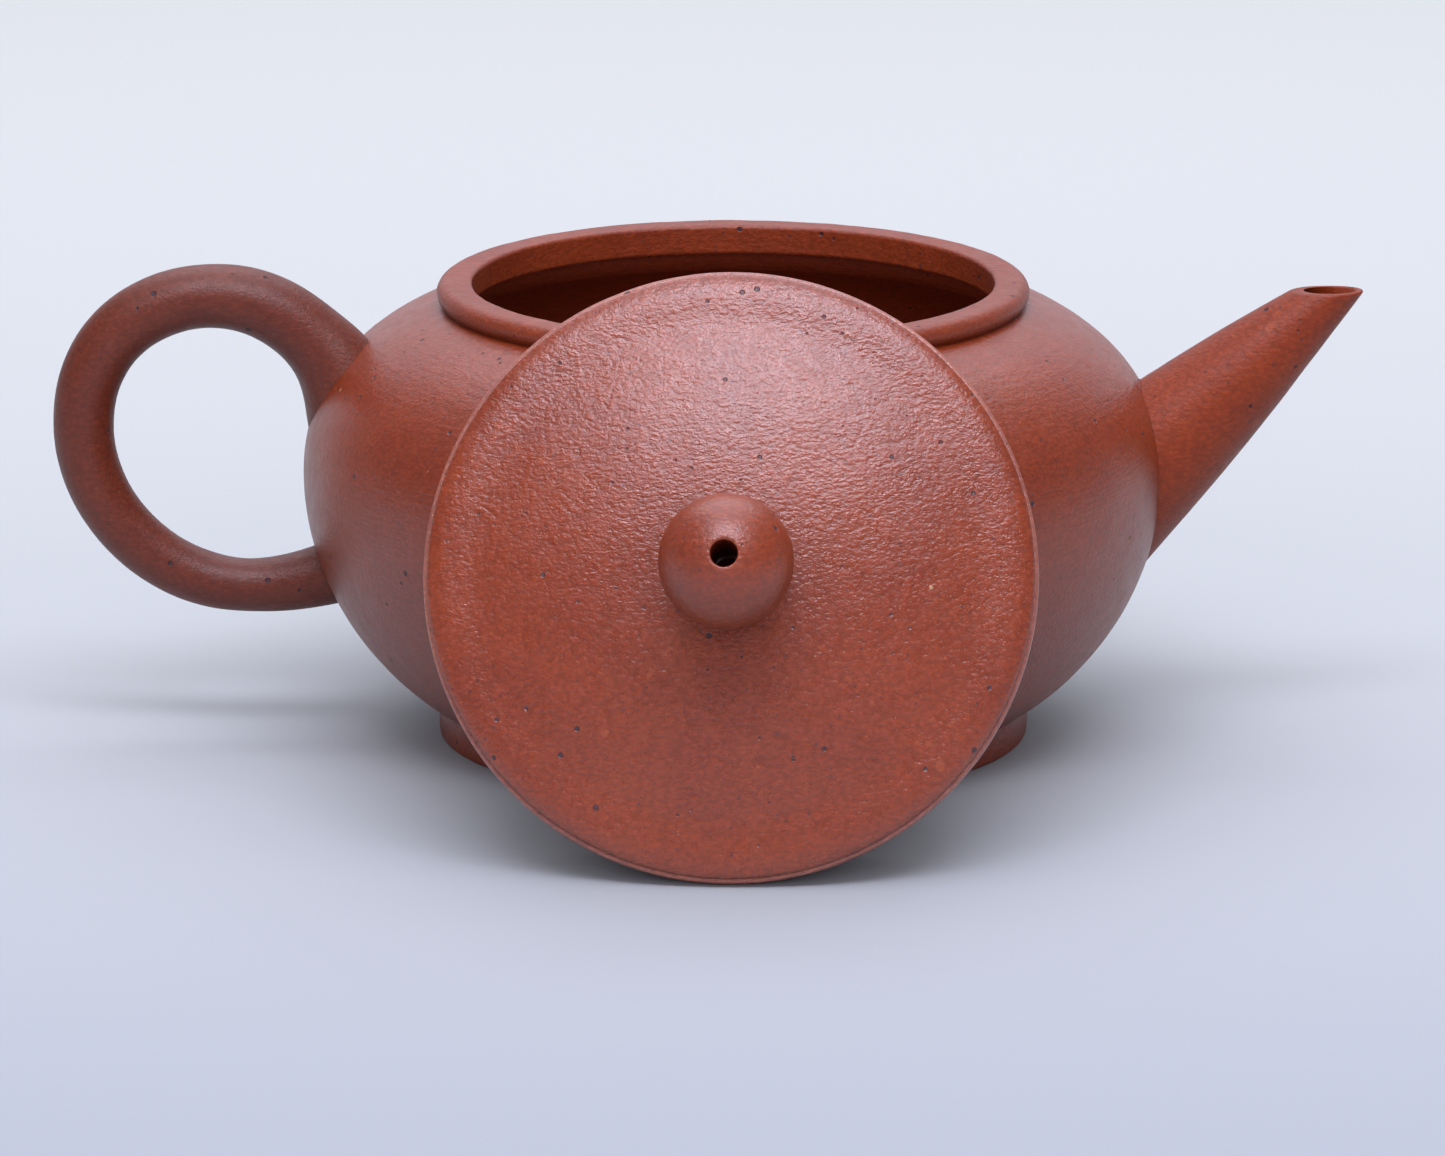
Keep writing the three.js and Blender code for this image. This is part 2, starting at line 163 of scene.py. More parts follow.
# ---- Meshes ----


def noise(points, size, seed):
    """Smooth noise from -1 to 1 at the points, with features of about this size."""
    p = points / size + seed * 7.31
    cell = np.floor(p).astype(np.int64)
    f = p - cell
    f = f * f * (3 - 2 * f)
    total = np.zeros(len(points))
    for corner in np.ndindex(2, 2, 2):
        c = cell + corner
        h = c[:, 0] * 73856093 ^ c[:, 1] * 19349663 ^ c[:, 2] * 83492791 ^ seed * 2654435
        h = ((h ^ (h >> 13)) * 1274126177) & 0x7FFFFFFF
        h = (h ^ (h >> 15)) & 0xFFFF
        weight = np.prod(np.where(corner, f, 1 - f), axis=1)
        total += weight * (h / 32767.5 - 1)
    return total


def grid_faces(rows, columns, closed):
    """Quads of a grid that closes across its columns, and across its rows if closed."""
    i = np.arange(rows if closed else rows - 1)[:, None]
    j = np.arange(columns)[None, :]
    after_i, after_j = (i + 1) % rows, (j + 1) % columns
    quad = np.stack(
        [i * columns + j, i * columns + after_j, after_i * columns + after_j, after_i * columns + j],
        axis=-1,
    )
    return quad.reshape(-1, 4)


def make(name, points, faces, relief, place):
    """A piece from points in mm: relief is a row of (feature size, depth), in mm."""
    mesh = bpy.data.meshes.new(name)
    mesh.from_pydata(points.tolist(), [], [list(f) for f in faces])
    mesh.validate()
    mesh.update()
    normals = np.zeros(len(points) * 3, np.float32)
    mesh.vertex_normals.foreach_get("vector", normals)
    depth = sum(size_depth[1] * noise(points, size_depth[0], k) for k, size_depth in enumerate(relief))
    moved = place(points + normals.reshape(-1, 3) * np.reshape(depth, (-1, 1))) * MM
    mesh.vertices.foreach_set("co", moved.astype(np.float32).ravel())
    mesh.polygons.foreach_set("use_smooth", [True] * len(mesh.polygons))
    mesh.update()
    piece = bpy.data.objects.new(name, mesh)
    bpy.context.scene.collection.objects.link(piece)
    return piece


def turned(name, outline, relief, place, segments=ROUND_SEGMENTS):
    """A piece turned about its axis. The outline closes on itself, or on the axis at both ends."""
    on_axis = outline[0, 0] < 1e-6
    a = np.linspace(0, 2 * math.pi, segments, endpoint=False)
    body = outline[1:-1] if on_axis else outline
    points = np.stack(
        [
            body[:, :1] * np.cos(a),
            body[:, :1] * np.sin(a),
            np.broadcast_to(body[:, 1:], (len(body), segments)),
        ],
        axis=-1,
    ).reshape(-1, 3)
    faces = grid_faces(len(body), segments, closed=not on_axis).tolist()
    if on_axis:
        low, high = len(points), len(points) + 1
        points = np.vstack([points, [0, 0, outline[0, 1]], [0, 0, outline[-1, 1]]])
        last = (len(body) - 1) * segments
        for j in range(segments):
            after = (j + 1) % segments
            faces.append([low, after, j])
            faces.append([high, last + j, last + after])
    return make(name, points, faces, relief, place)


def cut(piece, tool):
    """Removes from the piece what the tool holds."""
    change = piece.modifiers.new("cut", "BOOLEAN")
    change.operation, change.solver, change.object = "DIFFERENCE", "EXACT", tool
    bpy.context.view_layer.update()
    graph = bpy.context.evaluated_depsgraph_get()
    result = bpy.data.meshes.new_from_object(piece.evaluated_get(graph))
    piece.modifiers.clear()
    piece.data = result
    result.polygons.foreach_set("use_smooth", [True] * len(result.polygons))
    bpy.data.objects.remove(tool)


# ---- Places ----

ring_low, ring_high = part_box("mouth_ring")
POT_AXIS = np.array([(ring_low.x + ring_high.x) / 2, (ring_low.y + ring_high.y) / 2, 0]) / MM


def in_pot(points):
    return points + POT_AXIS


def corners(node):
    """The node's corners in mm, each once."""
    co = np.array([v.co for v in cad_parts[node].data.vertices]) / MM
    return np.unique(np.round(co, 3), axis=0)


def lid_place():
    """What moves points drawn about the lid's own axis, with its seat at height 0, into the frame."""
    collar = corners("lid_collar").mean(0)
    normal = corners("knob").mean(0) - collar
    normal /= np.linalg.norm(normal)
    across = np.cross([0, 0, 1], normal)
    across /= np.linalg.norm(across)
    up = np.cross(normal, across)
    seat = (corners("lid_seat_ring") @ normal).min()
    origin = collar + (seat - collar @ normal) * normal
    axes = np.array([across, up, normal])
    return lambda points: points @ axes + origin


in_lid = lid_place()

# ---- Clay ----


def node(tree, kind, settings=(), **inputs):
    """A node with its settings and inputs. An input is a number, a colour or another node's output."""
    made = tree.nodes.new("ShaderNode" + kind)
    for key, value in settings:
        setattr(made, key, value)
    for key, value in inputs.items():
        socket = made.inputs[int(key[1:])] if key[0] == "i" and key[1:].isdigit() else made.inputs[key]
        if isinstance(value, bpy.types.NodeSocket):
            tree.links.new(value, socket)
        else:
            socket.default_value = value
    return made


def maths(tree, operation, a, b=0.0, c=0.0, clamp=False):
    made = node(tree, "Math", [("operation", operation), ("use_clamp", clamp)], i0=a, i1=b, i2=c)
    return made.outputs[0]


def ramp(tree, value, start, end):
    """0 at start and 1 at end, smooth between them."""
    made = node(
        tree, "MapRange", [("interpolation_type", "SMOOTHSTEP")], Value=value,
        **{"From Min": start, "From Max": end, "To Min": 0.0, "To Max": 1.0},
    )
    return made.outputs[0]


def blend(tree, share, a, b, how="MIX"):
    made = node(tree, "Mix", [("data_type", "RGBA"), ("blend_type", how)], i0=share, i6=a, i7=b)
    return made.outputs[2]


def grain(tree, place, size, detail=3.0, rough=0.55):
    """Noise with features of about this size in mm."""
    made = node(tree, "TexNoise", Vector=place, Scale=1 / (size * MM), Detail=detail, Roughness=rough)
    return made.outputs[0]


def specks(tree, place, spacing, share, size):
    """Small grains in the clay: 1 inside one. share is how many cells have one, size is in cells."""
    cells = node(tree, "TexVoronoi", Vector=place, Scale=1 / (spacing * MM))
    pick = node(tree, "SeparateColor", Color=cells.outputs["Color"])
    there = maths(tree, "LESS_THAN", pick.outputs[0], share)
    reach = maths(tree, "MULTIPLY_ADD", pick.outputs[1], size, size * 0.4)
    inside = maths(tree, "SUBTRACT", reach, cells.outputs["Distance"])
    soft = ramp(tree, inside, 0.0, size * 0.5)
    return maths(tree, "MULTIPLY", there, soft)


POT_TONE = (0.18, 0.0268, 0.0060)
HANDLE_TONE = (0.101, 0.0174, 0.0066)
LID_TONE = (0.19, 0.031, 0.0088)
EDGE_HIGHLIGHT_TONE = (0.27, 0.085, 0.058)  # painted highlight: lighter, so the lid's rounded edge shows as a light line
INNER_TONE = (0.15, 0.034, 0.024)
DARK_GRAIN, TINY_GRAIN = (0.02, 0.012, 0.02, 1), (0.06, 0.022, 0.024, 1)
CREAM_GRAIN = (0.40, 0.24, 0.13, 1)

# Sizes in the clay's skin, in mm
SKIN_GRAIN, SKIN_DUST, CELL_SIZE, CELL_WANDER = 0.36, 0.18, 0.5, 0.8
SKIN_STRETCH = (0.72, 1.0, 1.2)
CLOUD_SIZE, PATCH_SIZE, GLOSS_SIZE = 11.0, 2.2, 1.6
STREAK_SIZE, STREAK_STRETCH = 3.4, (1.0, 1.0, 9.0)
BUMP_DEPTH = 0.085


def leather(tree, place):
    """The height of the clay's skin: fine grain over small round cells, wider than they are tall."""
    level = node(tree, "Mapping", Vector=place, Scale=SKIN_STRETCH).outputs[0]
    skin = grain(tree, level, SKIN_GRAIN, 3, 0.6)
    shift = node(tree, "TexNoise", Vector=level, Scale=1 / (CELL_WANDER * MM), Detail=2.0)
    bent = node(
        tree, "VectorMath", [("operation", "MULTIPLY_ADD")],
        i0=shift.outputs["Color"], i1=(CELL_WANDER * MM,) * 3, i2=level,
    )
    cells = node(
        tree, "TexVoronoi", [("feature", "SMOOTH_F1")],
        Vector=bent.outputs[0], Scale=1 / (CELL_SIZE * MM), Smoothness=0.35,
    )
    return maths(tree, "MULTIPLY_ADD", cells.outputs["Distance"], -0.45, skin)


def mottle(tree, place, warm, cool, skin):
    """Clouds and patches of two tones, with painted shade: darker in the skin's hollows and lighter on
    its crests.
    """
    cloud = ramp(tree, grain(tree, place, CLOUD_SIZE, 3), 0.34, 0.66)
    colour = blend(tree, cloud, cool, warm)
    patch = ramp(tree, grain(tree, place, PATCH_SIZE, 4), 0.35, 0.7)
    colour = blend(tree, maths(tree, "MULTIPLY", patch, 0.35), colour, warm)
    # Painted shade: the colour follows the skin's height, darker in hollows
    shade = node(
        tree, "MapRange", Value=skin,
        **{"From Min": 0.12, "From Max": 0.52, "To Min": 0.8, "To Max": 1.16},
    ).outputs[0]
    grey = node(tree, "CombineColor", Red=shade, Green=shade, Blue=shade)
    return blend(tree, 1.0, colour, grey.outputs[0], "MULTIPLY")


def clay(name, tone, wrinkle=1.0, streak=0.0, roughness=0.5, shine=0.85):
    """Unglazed zisha clay. wrinkle is how deep its grainy skin is, streak how burnished round."""
    material = bpy.data.materials.new(name)
    material.use_nodes = True
    tree = material.node_tree
    tree.nodes.clear()
    place = node(tree, "TexCoord").outputs["Object"]

    def tint(*factors):
        return tuple(c * k for c, k in zip(tone, factors)) + (1.0,)

    skin = leather(tree, place)
    colour = mottle(tree, place, tint(1.07, 1.09, 1.03), tint(0.93, 0.91, 0.99), skin)
    rust, tiny = specks(tree, place, 0.9, 0.2, 0.13), specks(tree, place, 0.7, 0.2, 0.22)
    dark, cream = specks(tree, place, 1.5, 0.24, 0.16), specks(tree, place, 2.9, 0.1, 0.06)
    # Painted highlight: sharp convex edges are turned lighter and bluer, as if catching the light
    pointy_edge_highlight = ramp(tree, node(tree, "NewGeometry").outputs["Pointiness"], 0.55, 0.66)
    for where, strength, shown in (
        (rust, 0.7, tint(1.7, 2.3, 2.2)),
        (tiny, 0.7, TINY_GRAIN),
        (dark, 0.9, DARK_GRAIN),
        (cream, 0.8, CREAM_GRAIN),
        (pointy_edge_highlight, 0.5, tint(1.5, 2.0, 2.4)),
    ):
        colour = blend(tree, maths(tree, "MULTIPLY", where, strength), colour, shown)

    height = maths(tree, "MULTIPLY", skin, 1.2 * wrinkle)
    height = maths(tree, "MULTIPLY_ADD", grain(tree, place, SKIN_DUST, 2), 0.35, height)
    if streak:
        long = node(tree, "Mapping", Vector=place, Scale=STREAK_STRETCH).outputs[0]
        height = maths(tree, "MULTIPLY_ADD", grain(tree, long, STREAK_SIZE, 3), streak, height)
    height = maths(tree, "MULTIPLY_ADD", dark, -1.0, height)
    height = maths(tree, "MULTIPLY_ADD", cream, 0.5, height)
    bump = node(tree, "Bump", Height=height, Strength=1.0, Distance=BUMP_DEPTH * MM)
    dull = maths(tree, "MULTIPLY_ADD", grain(tree, place, GLOSS_SIZE, 4), 0.22, roughness - 0.11)
    dull = maths(tree, "MULTIPLY_ADD", dark, 0.2, dull, clamp=True)
    shader = node(
        tree, "BsdfPrincipled", Roughness=dull, Normal=bump.outputs[0],
        **{"Base Color": colour, "Specular IOR Level": shine},
    )
    output = node(tree, "OutputMaterial")
    tree.links.new(shader.outputs[0], output.inputs[0])
    return material


body_clay = clay("body_clay", POT_TONE, wrinkle=0.42, streak=0.7, roughness=0.37)
trim_clay = clay("trim_clay", POT_TONE, wrinkle=0.5, streak=0.3, roughness=0.46, shine=0.6)
spout_clay = clay("spout_clay", POT_TONE, wrinkle=0.5, roughness=0.48, shine=0.35)
handle_clay = clay("handle_clay", HANDLE_TONE, wrinkle=0.35, roughness=0.46, shine=0.55)
lid_clay = clay("lid_clay", LID_TONE, wrinkle=0.75, roughness=0.28, shine=1.0)
# The lid's seat ring gets a lighter tone: a painted highlight along its edge
lid_edge_highlight_clay = clay("lid_edge_highlight_clay", EDGE_HIGHLIGHT_TONE, wrinkle=0.4, roughness=0.30, shine=1.0)
knob_clay = clay("knob_clay", LID_TONE, wrinkle=0.6, roughness=0.36)
inner_clay = clay("inner_clay", INNER_TONE, wrinkle=1.0, roughness=0.7, shine=0.4)

# ---- Pieces ----

POT_RELIEF = ((16.0, 0.07), (5.0, 0.03), (1.6, 0.008))
LID_RELIEF = ((14.0, 0.05), (4.0, 0.025), (1.2, 0.010))


def finish(piece, body, slot, material, *nodes):
    piece.data.materials.clear()
    piece.data.materials.append(material)
    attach(piece, body)
    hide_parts(*nodes)


def lower_outline(step=FINE_STEP):
    end = (BASE_RADIUS, BASE_LEVEL)
    return bezier(
        end, slide(end, BASE_SLOPE, BASE_REACH), (BELLY_RADIUS, BELLY_LEVEL - LOWER_REACH),
        (BELLY_RADIUS, BELLY_LEVEL), step,
    )


def upper_outline(step=FINE_STEP):
    end = (SHOULDER_RADIUS, SHOULDER_LEVEL)
    return bezier(
        (BELLY_RADIUS, BELLY_LEVEL), (BELLY_RADIUS, BELLY_LEVEL + UPPER_REACH),
        slide(end, -SHOULDER_SLOPE, SHOULDER_REACH), end, step,
    )


BELLY_OUTLINE = chain(lower_outline(), upper_outline())


def make_body():
    mouth = MOUTH_RADIUS + BODY_SETBACK
    inner = offset(chain(lower_outline(COARSE_STEP), upper_outline(COARSE_STEP)), WALL)
    inner = inner[inner[:, 0] > mouth][::-1]
    outline = chain(
        BELLY_OUTLINE,
        line((SHOULDER_RADIUS, SHOULDER_LEVEL), (mouth, SHOULDER_LEVEL + 0.45)),
        [(mouth, SHOULDER_LEVEL - 0.4)],
        inner,
    )
    return turned("body", outline, POT_RELIEF, in_pot)


def make_mouth_ring():
    x = RING_ROLL_CENTRE[0]
    bottom = SHOULDER_LEVEL - RING_DEPTH
    edge = MOUTH_RADIUS + RING_INNER_EDGE
    outline = chain(
        [(MOUTH_RADIUS + 0.9, bottom), (RING_GROOVE - 0.55, bottom), (RING_GROOVE, SHOULDER_LEVEL)],
        arc(RING_ROLL_CENTRE, RING_ROLL, RING_ROLL_START, 90, 24),
        line((x, MOUTH_TOP), (edge, MOUTH_TOP - 0.04), step=0.3),
        arc((edge, MOUTH_TOP - 0.04 - RING_INNER_EDGE), RING_INNER_EDGE, 90, 180, 8),
        line((MOUTH_RADIUS, MOUTH_TOP - 0.4), (MOUTH_RADIUS + 0.05, bottom), step=0.3),
    )
    return turned("mouth_rim", outline, ((9.0, 0.05), (2.5, 0.03), (0.9, 0.012)), in_pot)


def make_foot():
    side = bezier(
        (FOOT_RADIUS, FOOT_EDGE), (FOOT_RADIUS + FOOT_SWELL, 1.5),
        (FOOT_RADIUS, 2.8), (FOOT_RADIUS - 0.4, 3.25), 0.3,
    )
    outline = chain(
        line((FOOT_BORE + 0.35, 0), (FOOT_RADIUS - FOOT_EDGE, 0)),
        arc((FOOT_RADIUS - FOOT_EDGE, FOOT_EDGE), FOOT_EDGE, -90, 0, 8),
        side,
        [(FOOT_RADIUS - 1.5, 2.9)],
        line((FOOT_BORE + 0.3, BASE_UNDERSIDE + 0.1), (FOOT_BORE, BASE_UNDERSIDE - 0.2)),
        line((FOOT_BORE, BASE_UNDERSIDE - 0.2), (FOOT_BORE, 0.35)),
    )
    return turned("foot", outline, ((9.0, 0.02), (2.0, 0.012)), in_pot)


def make_base():
    edge = slide((BASE_RADIUS, BASE_LEVEL), BASE_SLOPE + 90, WALL)
    outline = chain(
        line((0, BASE_UNDERSIDE), (BASE_RADIUS - 1.2, BASE_UNDERSIDE), step=0.8),
        line((BASE_RADIUS - 1.0, BASE_UNDERSIDE + 0.2), (edge[0] + 0.2, edge[1])),
        line((edge[0], edge[1] + 0.1), (edge[0] - 2.5, edge[1] - 0.1)),
        line((edge[0] - 3, edge[1] - 0.1), (0, edge[1] - 0.1), step=0.8),
    )
    return turned("base", outline, ((8.0, 0.06), (2.2, 0.03)), in_pot, 256)


def belly_radius(z):
    return np.interp(z, BELLY_OUTLINE[:, 1], BELLY_OUTLINE[:, 0])


def cone_side(cone, angle, down):
    """Points down one side of the spout or its channel, at distances from the cone's point."""
    climb = math.radians(cone["angle"])
    axis = np.array([math.cos(climb), 0, math.sin(climb)])
    above = np.array([-math.sin(climb), 0, math.cos(climb)])
    side = math.cos(angle) * above - math.sin(angle) * np.array([0, 1, 0])
    down = np.reshape(down, (-1, 1))
    share = down / SPOUT_LENGTH
    radius = cone["radius"] + cone["taper"] * down + cone["swell"] * 4 * share * (1 - share)
    return np.array(cone["point"]) - down * axis + radius * side


def make_spout():
    """Each angle round the spout has one line: up the side, over the lip and down the channel."""
    down = np.linspace(SPOUT_TOP, SPOUT_LENGTH, 1600)
    columns = []
    for angle in np.linspace(0, 2 * math.pi, SPOUT_SIDES, endpoint=False):
        outer, inner = cone_side(SPOUT, angle, down), cone_side(CHANNEL, angle, down)
        top = np.interp(-SPOUT_MOUTH_LEVEL, -outer[:, 2], down)
        top_inner = np.interp(-SPOUT_MOUTH_LEVEL, -inner[:, 2], down)
        inside = np.hypot(outer[:, 0], outer[:, 1]) < belly_radius(outer[:, 2])
        root = down[np.argmax(inside)] + 0.7
        lip, lip_inner = cone_side(SPOUT, angle, top)[0], cone_side(CHANNEL, angle, top_inner)[0]
        over = (lip_inner - lip) / np.linalg.norm(lip_inner - lip)
        wall = cone_side(SPOUT, angle, np.linspace(root, top + SPOUT_LIP, 52))
        t = np.linspace(0, 1, 7)[1:, None]
        round_out = (1 - t) ** 2 * wall[-1] + 2 * t * (1 - t) * lip + t**2 * (lip + SPOUT_LIP * over)
        back = lip_inner - SPOUT_LIP_INNER * over
        channel = cone_side(CHANNEL, angle, np.linspace(top_inner + SPOUT_LIP_INNER, CHANNEL_END, 40))
        round_in = (1 - t) ** 2 * back + 2 * t * (1 - t) * lip_inner + t**2 * channel[0]
        columns.append(np.vstack([wall, round_out, [back], round_in, channel[1:]]))
    points = np.stack(columns, axis=1)
    faces = grid_faces(points.shape[0], points.shape[1], closed=True)
    relief = ((9.0, 0.05), (3.0, 0.02), (1.2, 0.006))
    return make("spout_tube", points.reshape(-1, 3), faces, relief, in_pot)


def make_drills(place):
    """A rod for each of the strainer's holes, fanned out from the ball's centre."""
    turn = np.linspace(0, 2 * math.pi, DRILL_SIDES, endpoint=False)[:, None]
    start, end = STRAINER_RADIUS - STRAINER_WALL - 1.5, STRAINER_RADIUS + 1.0
    points, faces = [], []
    for holes, tilt in STRAINER_ROWS:
        for k in range(holes):
            t, about = math.radians(tilt), 2 * math.pi * k / holes
            way = np.array([math.sin(t) * math.cos(about), math.sin(t) * math.sin(about), math.cos(t)])
            u = np.cross(way, [0.3, 0.9, 0.1])
            u /= np.linalg.norm(u)
            v = np.cross(way, u)
            loop = STRAINER_HOLE * (np.cos(turn) * u + np.sin(turn) * v)
            near = len(points) * 2 * DRILL_SIDES + np.arange(DRILL_SIDES)
            far = near + DRILL_SIDES
            points.append(np.vstack([loop + way * start, loop + way * end]))
            faces += np.stack([near, np.roll(near, -1), np.roll(far, -1), far], axis=1).tolist()
            faces += [near[::-1].tolist(), far.tolist()]
    return make("drills", np.vstack(points), faces, (), place)


def make_strainer():
    """A half ball with its holes, on the inside of the wall."""
    x = BELLY_RADIUS - WALL + 0.5
    fall = (CHANNEL["point"][0] - x) * math.tan(math.radians(CHANNEL["angle"]))
    centre = np.array([x, 0, CHANNEL["point"][2] - fall])

    def inwards(points):
        return np.stack([-points[:, 2], points[:, 1], points[:, 0]], 1) + centre + POT_AXIS

    bore = STRAINER_RADIUS - STRAINER_WALL
    outline = chain(arc((0, 0), bore, 90, 0, 50), arc((0, 0), STRAINER_RADIUS, 0, 90, 60))
    piece = turned("strainer_ball", outline, ((2.0, 0.01),), inwards, STRAINER_SIDES)
    cut(piece, make_drills(inwards))
    return piece


def handle_line():
    """Points, directions and radii along the handle's centre line."""
    rows, radii = [], []
    for (*start, radius, heading, _, reach), (*end, end_radius, end_heading, end_reach, _) in zip(
        HANDLE_STATIONS, HANDLE_STATIONS[1:]
    ):
        curve = bezier(
            start, slide(start, heading, reach), slide(end, end_heading, -end_reach), end, 0.05
        )
        new = slice(1 if rows else 0, None)  # a station's point is kept once
        rows.append(curve[new])
        radii.append(np.linspace(radius, end_radius, len(curve))[new])
    path, radii = np.concatenate(rows), np.concatenate(radii)
    length = np.r_[0, np.cumsum(np.linalg.norm(np.diff(path, axis=0), axis=1))]
    at = np.linspace(0, length[-1], int(length[-1] / HANDLE_STEP))
    near = np.exp(-0.5 * ((at[:, None] - length[None, ::10]) / (HANDLE_SMOOTHING / 2)) ** 2)
    radii = (near @ radii[::10]) / near.sum(1)
    path = np.stack([np.interp(at, length, column) for column in path.T], 1)
    direction = np.gradient(path, axis=0)
    return path, direction / np.linalg.norm(direction, axis=1)[:, None], radii


def make_handle():
    path, direction, radii = handle_line()
    a = np.linspace(0, 2 * math.pi, HANDLE_SIDES, endpoint=False)
    centre = np.stack([path[:, 0], np.zeros(len(path)), path[:, 1]], 1)
    outwards = np.stack([-direction[:, 1], np.zeros(len(path)), direction[:, 0]], 1)
    rings = (
        centre[:, None]
        + radii[:, None, None] * np.cos(a)[None, :, None] * outwards[:, None]
        - radii[:, None, None] * HANDLE_DEPTH * np.sin(a)[None, :, None] * np.array([0, 1, 0])
    )
    points = rings.reshape(-1, 3)
    faces = grid_faces(len(path), HANDLE_SIDES, closed=False).tolist()
    last = (len(path) - 1) * HANDLE_SIDES
    faces.append(list(range(HANDLE_SIDES))[::-1])
    faces.append([last + j for j in range(HANDLE_SIDES)])
    relief = ((10.0, 0.06), (3.5, 0.03), (1.2, 0.008))
    return make("handle_loop", points, faces, relief, in_pot)


def make_lid_top():
    brim = bezier(
        BRIM_EDGE, slide(BRIM_EDGE, 180 - BRIM_EDGE_SLOPE, BRIM_EDGE_REACH),
        slide(BRIM_FOOT, -BRIM_FOOT_SLOPE, BRIM_FOOT_REACH), BRIM_FOOT, 0.28,
    )
    dome = bezier(
        BRIM_FOOT, slide(BRIM_FOOT, 180 - DOME_SLOPE, DOME_FOOT_REACH),
        (AIR_HOLE_RADIUS + DOME_TOP_REACH, DOME_RISE), (AIR_HOLE_RADIUS, DOME_RISE), 0.28,
    )
    outer = chain(brim, dome)
    soft = outer.copy()
    for _ in range(12):  # the brim runs into the dome without a crease
        soft[1:-1] = (soft[:-2] + 2 * soft[1:-1] + soft[2:]) / 4
    near = np.exp(-(((outer[:, 0] - BRIM_FOOT[0]) / 1.5) ** 2))[:, None]
    outer = outer + near * (soft - outer)
    under = SEAT_RING_HEIGHT
    inner = offset(outer, DOME_WALL)
    inner = inner[(inner[:, 0] < LID_RADIUS - DOME_LAND) & (inner[:, 1] > under)][::-3]
    step = LID_RADIUS - LID_STEP
    outline = chain(
        [(LID_RADIUS - DOME_LAND, under - 0.1), (step - 0.6, under - 0.1)],
        line((step - 0.05, under - 0.05), BRIM_EDGE, step=0.15),
        outer,
        inner,
    )
    return turned("lid_top", outline, LID_RELIEF, in_lid)


def make_lid_ring():
    bore = COLLAR_RADIUS - COLLAR_WALL
    out, high = LID_RADIUS - SEAT_RING_EDGE, SEAT_RING_HEIGHT - SEAT_RING_EDGE
    outline = chain(
        line((bore + 0.1, 0), (out, 0)),
        arc((out, SEAT_RING_EDGE), SEAT_RING_EDGE, -90, 0, 8),
        arc((out, high), SEAT_RING_EDGE, 0, 90, 8),
        line((out, SEAT_RING_HEIGHT), (bore + 0.1, SEAT_RING_HEIGHT)),
    )
    return turned("lid_edge", outline, ((8.0, 0.03), (2.0, 0.012)), in_lid)


def make_collar():
    bore, e = COLLAR_RADIUS - COLLAR_WALL, COLLAR_EDGE
    outline = chain(
        arc((bore + e, e - COLLAR_DEPTH), e, 180, 270, 8),
        arc((COLLAR_RADIUS - e, e - COLLAR_DEPTH), e, -90, 0, 8),
        line((COLLAR_RADIUS, e - COLLAR_DEPTH), (COLLAR_RADIUS, 0.3)),
        line((bore, 0.3), (bore, e - COLLAR_DEPTH)),
    )
    return turned("lid_flange", outline, ((9.0, 0.05), (2.4, 0.02)), in_lid)


def make_knob():
    meet = math.degrees(math.asin(-math.sqrt(KNOB_RADIUS**2 - NECK_RADIUS**2) / KNOB_RADIUS))
    hole = AIR_HOLE_RADIUS + AIR_HOLE_EDGE
    top = KNOB_CENTRE + math.sqrt(KNOB_RADIUS**2 - hole**2)
    high = math.degrees(math.acos(hole / KNOB_RADIUS))
    neck = (NECK_RADIUS, KNOB_CENTRE + KNOB_RADIUS * math.sin(math.radians(meet)))
    foot = DOME_RISE - 0.15
    flare = bezier(
        (NECK_RADIUS + NECK_FLARE, foot), (NECK_RADIUS + 0.1, foot + 0.1),
        (NECK_RADIUS, foot + 0.5), neck, 0.2,
    )
    edge = bezier(
        (hole, top), (AIR_HOLE_RADIUS, top + 0.02), (AIR_HOLE_RADIUS, top),
        (AIR_HOLE_RADIUS, top - 0.35), 0.07,
    )
    outline = chain(
        [(AIR_HOLE_RADIUS, foot - 0.2)],
        line((AIR_HOLE_RADIUS + 0.2, foot - 0.2), (NECK_RADIUS + NECK_FLARE, foot), step=0.4),
        flare,
        arc((0, KNOB_CENTRE), KNOB_RADIUS, meet, high, 84),
        edge,
        line((AIR_HOLE_RADIUS, top - 0.4), (AIR_HOLE_RADIUS, foot - 0.1)),
    )
    return turned("knob_ball", outline, ((6.0, 0.03), (2.0, 0.015), (0.9, 0.006)), in_lid, 256)


finish(make_body(), "pot", "pot_clay", body_clay, "belly_wall", "shoulder_disc")
finish(make_mouth_ring(), "pot", "pot_clay", trim_clay, "mouth_ring")
finish(make_foot(), "pot", "pot_clay", trim_clay, "foot_ring")
finish(make_base(), "pot", "inner_clay", inner_clay, "base_disc")
finish(make_spout(), "pot", "pot_clay", spout_clay, "spout")
finish(make_strainer(), "pot", "inner_clay", inner_clay, "strainer")
finish(make_handle(), "pot", "pot_clay", handle_clay, "handle")
finish(make_lid_top(), "lid", "lid_clay", lid_clay, "lid_dome")
finish(make_lid_ring(), "lid", "lid_clay", lid_edge_highlight_clay, "lid_seat_ring")
finish(make_collar(), "lid", "lid_clay", inner_clay, "lid_collar")
finish(make_knob(), "lid", "knob_clay", knob_clay, "knob")

# ---- Stage, lights and camera ----

